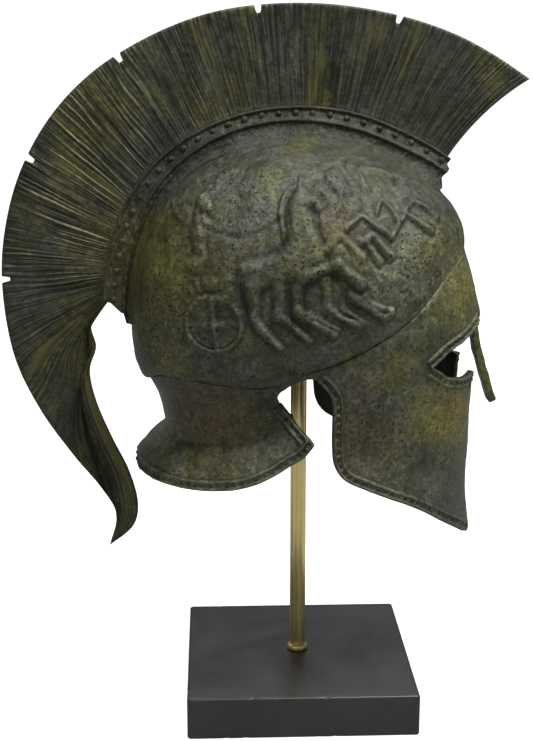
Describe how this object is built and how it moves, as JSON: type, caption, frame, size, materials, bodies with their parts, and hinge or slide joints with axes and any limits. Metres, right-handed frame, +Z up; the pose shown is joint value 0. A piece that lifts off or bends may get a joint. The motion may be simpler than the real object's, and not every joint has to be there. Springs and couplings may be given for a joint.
{
  "type": "greek bronze helmet on a stand",
  "caption": "Crested bronze helmet with cheek guards, nose bar, flared neck guard and a raised chariot scene, held up by a brass post on a square marble block.",
  "frame": {"origin": "centre of the marble block's underside, where the object stands", "axes": "+Z up along the post, +X out of the helmet's face, +Y to the helmet's left; the plane Y = 0 mirrors the object"},
  "size_m": [0.3362, 0.1828, 0.46],
  "materials": {
    "bronze": "cast bronze with a dark green-brown patina",
    "crest_bronze": "cast bronze with a dark olive patina",
    "brass": "drawn and lightly tarnished brass",
    "marble": "dark honed marble with a satin sheen"
  },
  "bodies": {
    "root": {"helmet_shell": "bronze", "crest": "crest_bronze", "rod": "brass", "rod_ring": "brass", "base": "marble"}
  },
  "joints": []
}
